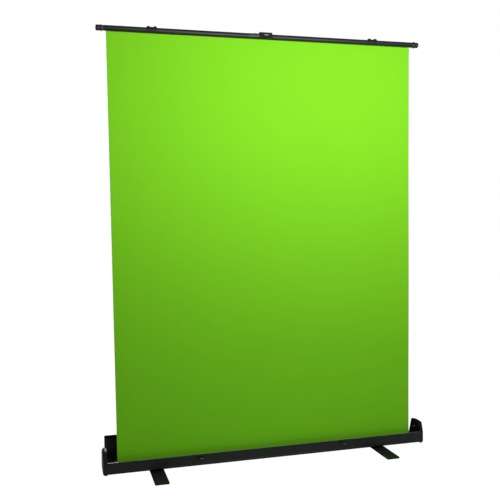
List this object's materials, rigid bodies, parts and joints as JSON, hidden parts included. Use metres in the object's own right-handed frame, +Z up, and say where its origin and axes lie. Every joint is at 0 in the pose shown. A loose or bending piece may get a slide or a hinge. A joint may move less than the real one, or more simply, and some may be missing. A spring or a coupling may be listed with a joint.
{
  "type": "collapsible backdrop panel",
  "caption": "Green backdrop screen that pulls up out of its hinged floor case on a folding arm frame, with a spring roller and swivel feet.",
  "frame": {"origin": "on the floor under the middle of the case, between the two foot pivots", "axes": "+X to the right along the case seen from the front, +Y to the back, +Z up; the cloth faces -Y"},
  "size_m": [1.6146, 0.425, 2.037],
  "materials": {
    "black_anodised": "satin black",
    "painted_steel": "satin black paint",
    "dark_grey_anodised": "satin dark grey",
    "bare_steel": "bright",
    "black_plastic": "fine grain",
    "rubber": "matt",
    "green_cloth": "matt woven"
  },
  "bodies": {
    "case": {"case_tray": "black_anodised", "end_cap_left": "black_plastic", "end_cap_right": "black_plastic", "end_cap_screw_left": "bare_steel", "end_cap_screw_right": "bare_steel", "roller_bracket_left": "black_anodised", "roller_bracket_right": "black_anodised", "roller_shaft": "bare_steel", "roller_spring": "bare_steel", "green_screen": "green_cloth", "base_bracket_left": "black_anodised", "base_bracket_right": "black_anodised", "base_pin_left": "bare_steel", "base_pin_right": "bare_steel", "foot_hub_left": "black_plastic", "foot_hub_right": "black_plastic", "foot_bolt_left": "bare_steel", "foot_bolt_right": "bare_steel", "latch_base_left": "painted_steel", "latch_base_right": "painted_steel", "latch_pin_left": "bare_steel", "latch_pin_right": "bare_steel"},
    "lid": {"lid_shell": "black_anodised", "lid_strike_left": "bare_steel", "lid_strike_right": "bare_steel", "handle_bracket_left": "black_plastic", "handle_bracket_right": "black_plastic"},
    "handle": {"carry_handle": "black_plastic"},
    "roller": {"roller_tube": "dark_grey_anodised", "cloth_roll": "green_cloth", "roller_plug_left": "black_plastic", "roller_plug_right": "black_plastic"},
    "left_lower_arm": {"lower_arm_left": "black_anodised", "knee_pin_left": "bare_steel", "strut_stud_left": "bare_steel"},
    "left_upper_arm": {"upper_arm_left": "black_anodised"},
    "bar": {"top_bar": "dark_grey_anodised", "hem_rod": "bare_steel", "pull_handle": "black_plastic", "bar_cap_left": "black_plastic", "bar_cap_right": "black_plastic", "top_bracket_left": "black_plastic", "top_bracket_right": "black_plastic", "top_pin_left": "bare_steel", "top_pin_right": "bare_steel"},
    "right_lower_arm": {"lower_arm_right": "black_anodised", "knee_pin_right": "bare_steel", "strut_stud_right": "bare_steel"},
    "right_upper_arm": {"upper_arm_right": "black_anodised"},
    "gas_cylinder": {"gas_cylinder": "painted_steel"},
    "gas_rod": {"gas_rod": "bare_steel"},
    "left_latch": {"latch_lever_left": "painted_steel"},
    "right_latch": {"latch_lever_right": "painted_steel"},
    "left_foot": {"foot_bar_left": "painted_steel", "foot_pad_left_front": "rubber", "foot_pad_left_rear": "rubber"},
    "right_foot": {"foot_bar_right": "painted_steel", "foot_pad_right_front": "rubber", "foot_pad_right_rear": "rubber"}
  },
  "joints": [
    {"name": "frame_fold", "type": "hinge", "parent": "case", "child": "left_lower_arm", "pos_m": [-0.5375, 0.0265, 0.042], "axis": [0, 1, 0], "range_deg": [0, 58.9], "deforming": ["green_screen"]},
    {"name": "left_knee", "type": "hinge", "parent": "left_lower_arm", "child": "left_upper_arm", "pos_m": [0.03, 0.0355, 1.027], "axis": [0, 1, 0], "range_deg": [-117.8, 0]},
    {"name": "bar_level", "type": "hinge", "parent": "left_upper_arm", "child": "bar", "pos_m": [-0.5375, 0.0355, 2.012], "axis": [0, 1, 0], "range_deg": [0, 58.9]},
    {"name": "right_base", "type": "hinge", "parent": "case", "child": "right_lower_arm", "pos_m": [0.5375, 0.0355, 0.042], "axis": [0, 1, 0], "range_deg": [-58.9, 0]},
    {"name": "right_knee", "type": "hinge", "parent": "right_lower_arm", "child": "right_upper_arm", "pos_m": [-0.03, 0.0265, 1.027], "axis": [0, 1, 0], "range_deg": [0, 117.8]},
    {"name": "cylinder_level", "type": "hinge", "parent": "left_lower_arm", "child": "gas_cylinder", "pos_m": [-0.47759, 0.0465, 0.14598], "axis": [0, 1, 0], "range_deg": [-58.9, 0]},
    {"name": "rod_level", "type": "hinge", "parent": "right_lower_arm", "child": "gas_rod", "pos_m": [0.47759, 0.0465, 0.14598], "axis": [0, 1, 0], "range_deg": [0, 58.9]},
    {"name": "roller_spin", "type": "hinge", "parent": "case", "child": "roller", "pos_m": [0, -0.004, 0.045], "axis": [1, 0, 0], "range_deg": [0, 5714]},
    {"name": "lid_swing", "type": "hinge", "parent": "case", "child": "lid", "pos_m": [0, 0.0605, 0.033], "axis": [1, 0, 0], "range_deg": [0, 15]},
    {"name": "handle_swing", "type": "hinge", "parent": "lid", "child": "handle", "pos_m": [0, 0.1567, 0.1195], "axis": [1, 0, 0], "range_deg": [0, 90]},
    {"name": "left_latch_swing", "type": "hinge", "parent": "case", "child": "left_latch", "pos_m": [-0.36, -0.0652, 0.05], "axis": [1, 0, 0], "range_deg": [0, 60]},
    {"name": "right_latch_swing", "type": "hinge", "parent": "case", "child": "right_latch", "pos_m": [0.36, -0.0652, 0.05], "axis": [1, 0, 0], "range_deg": [0, 60]},
    {"name": "left_foot_swivel", "type": "hinge", "parent": "case", "child": "left_foot", "pos_m": [-0.56, 0, 0.005], "axis": [0, 0, 1], "range_deg": [0, 90]},
    {"name": "right_foot_swivel", "type": "hinge", "parent": "case", "child": "right_foot", "pos_m": [0.56, 0, 0.005], "axis": [0, 0, 1], "range_deg": [-90, 0]}
  ],
  "couplings": [
    {"joint": "left_knee", "follows": "frame_fold", "ratio": -2},
    {"joint": "bar_level", "follows": "frame_fold", "ratio": 1},
    {"joint": "right_base", "follows": "frame_fold", "ratio": -1},
    {"joint": "right_knee", "follows": "frame_fold", "ratio": 2},
    {"joint": "cylinder_level", "follows": "frame_fold", "ratio": -1},
    {"joint": "rod_level", "follows": "frame_fold", "ratio": 1},
    {"joint": "roller_spin", "follows": "frame_fold", "ratio": 97}
  ]
}
